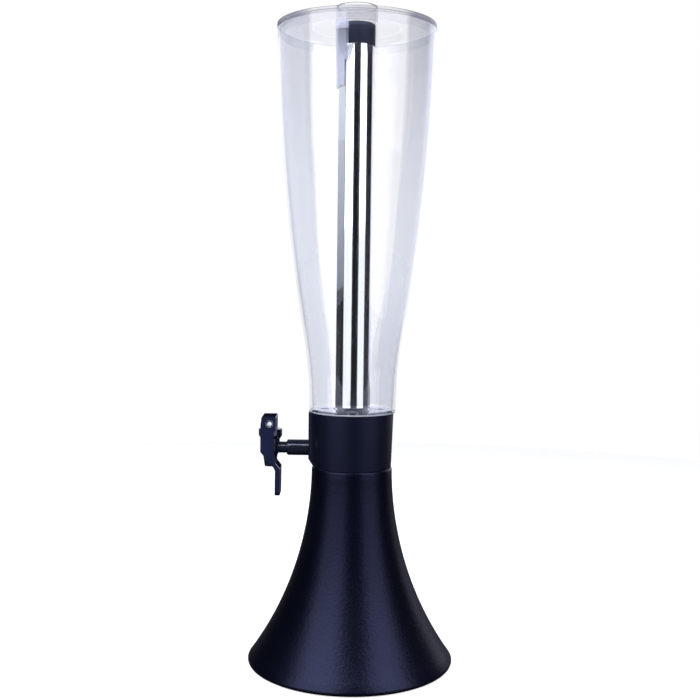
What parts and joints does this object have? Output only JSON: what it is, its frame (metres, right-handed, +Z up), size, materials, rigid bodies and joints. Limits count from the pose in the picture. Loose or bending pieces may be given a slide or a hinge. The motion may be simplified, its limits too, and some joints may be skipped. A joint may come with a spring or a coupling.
{
  "type": "beer tower dispenser",
  "caption": "Tall table drink tower: flared base, clear tapered tank with lid, removable ice tube, and a side tap opened by a push lever.",
  "frame": {"origin": "on the table, under the middle of the base", "axes": "+Z up along the tower, tap on the -X side, +Y away from the viewer"},
  "size_m": [0.1822, 0.1822, 0.5765],
  "materials": {
    "base_black": "satin",
    "collar_black": "satin",
    "tap_black": "satin",
    "lever_black": "satin",
    "stopper_black": "matte",
    "clear_plastic": "gloss",
    "tube_steel": "bright",
    "zinc_steel": "satin",
    "silicone": "satin",
    "seal_rubber": "matte",
    "foot_rubber": "matte"
  },
  "bodies": {
    "tower": {"base_shell": "base_black", "base_cover": "base_black", "cover_screws": "zinc_steel", "rubber_feet": "foot_rubber", "tap_collar": "collar_black", "tank_gasket": "silicone", "tap_shank": "tap_black", "shank_seal": "seal_rubber", "shank_washer": "tube_steel", "shank_nut": "tube_steel", "tap_body": "tap_black", "inlet_ring": "seal_rubber", "bonnet": "tap_black"},
    "stem": {"valve_stem": "tap_black", "seat_cup": "silicone", "valve_spring": "tube_steel"},
    "lever": {"push_lever": "lever_black", "pivot_pin": "tap_black"},
    "tank": {"tank": "clear_plastic"},
    "lid": {"lid": "clear_plastic", "guide_funnel": "clear_plastic"},
    "ice_tube": {"ice_tube": "tube_steel"},
    "stopper": {"ice_stopper": "stopper_black", "stopper_ring": "seal_rubber"}
  },
  "joints": [
    {"name": "stem_lift", "type": "slide", "parent": "tower", "child": "stem", "axis": [0, 0, 1], "range_m": [0, 0.00185], "deforming": ["valve_spring"]},
    {"name": "lever_push", "type": "hinge", "parent": "stem", "child": "lever", "pos_m": [-0.0726, 0, 0.2139], "axis": [0, -1, 0], "range_deg": [0, 20], "stiffness_Nm_per_rad": 0.0281, "springref_deg": -64.86},
    {"name": "tank_lift", "type": "slide", "parent": "tower", "child": "tank", "axis": [0, 0, 1], "range_m": [0, 0.03]},
    {"name": "lid_lift", "type": "slide", "parent": "tank", "child": "lid", "axis": [0, 0, 1], "range_m": [0, 0.08]},
    {"name": "ice_tube_lift", "type": "slide", "parent": "tank", "child": "ice_tube", "axis": [0, 0, 1], "range_m": [0, 0.36]},
    {"name": "stopper_pull", "type": "slide", "parent": "ice_tube", "child": "stopper", "axis": [0, 0, 1], "range_m": [0, 0.03]}
  ],
  "couplings": [
    {"joint": "stem_lift", "follows": "lever_push", "m_per_rad": 0.0053}
  ]
}
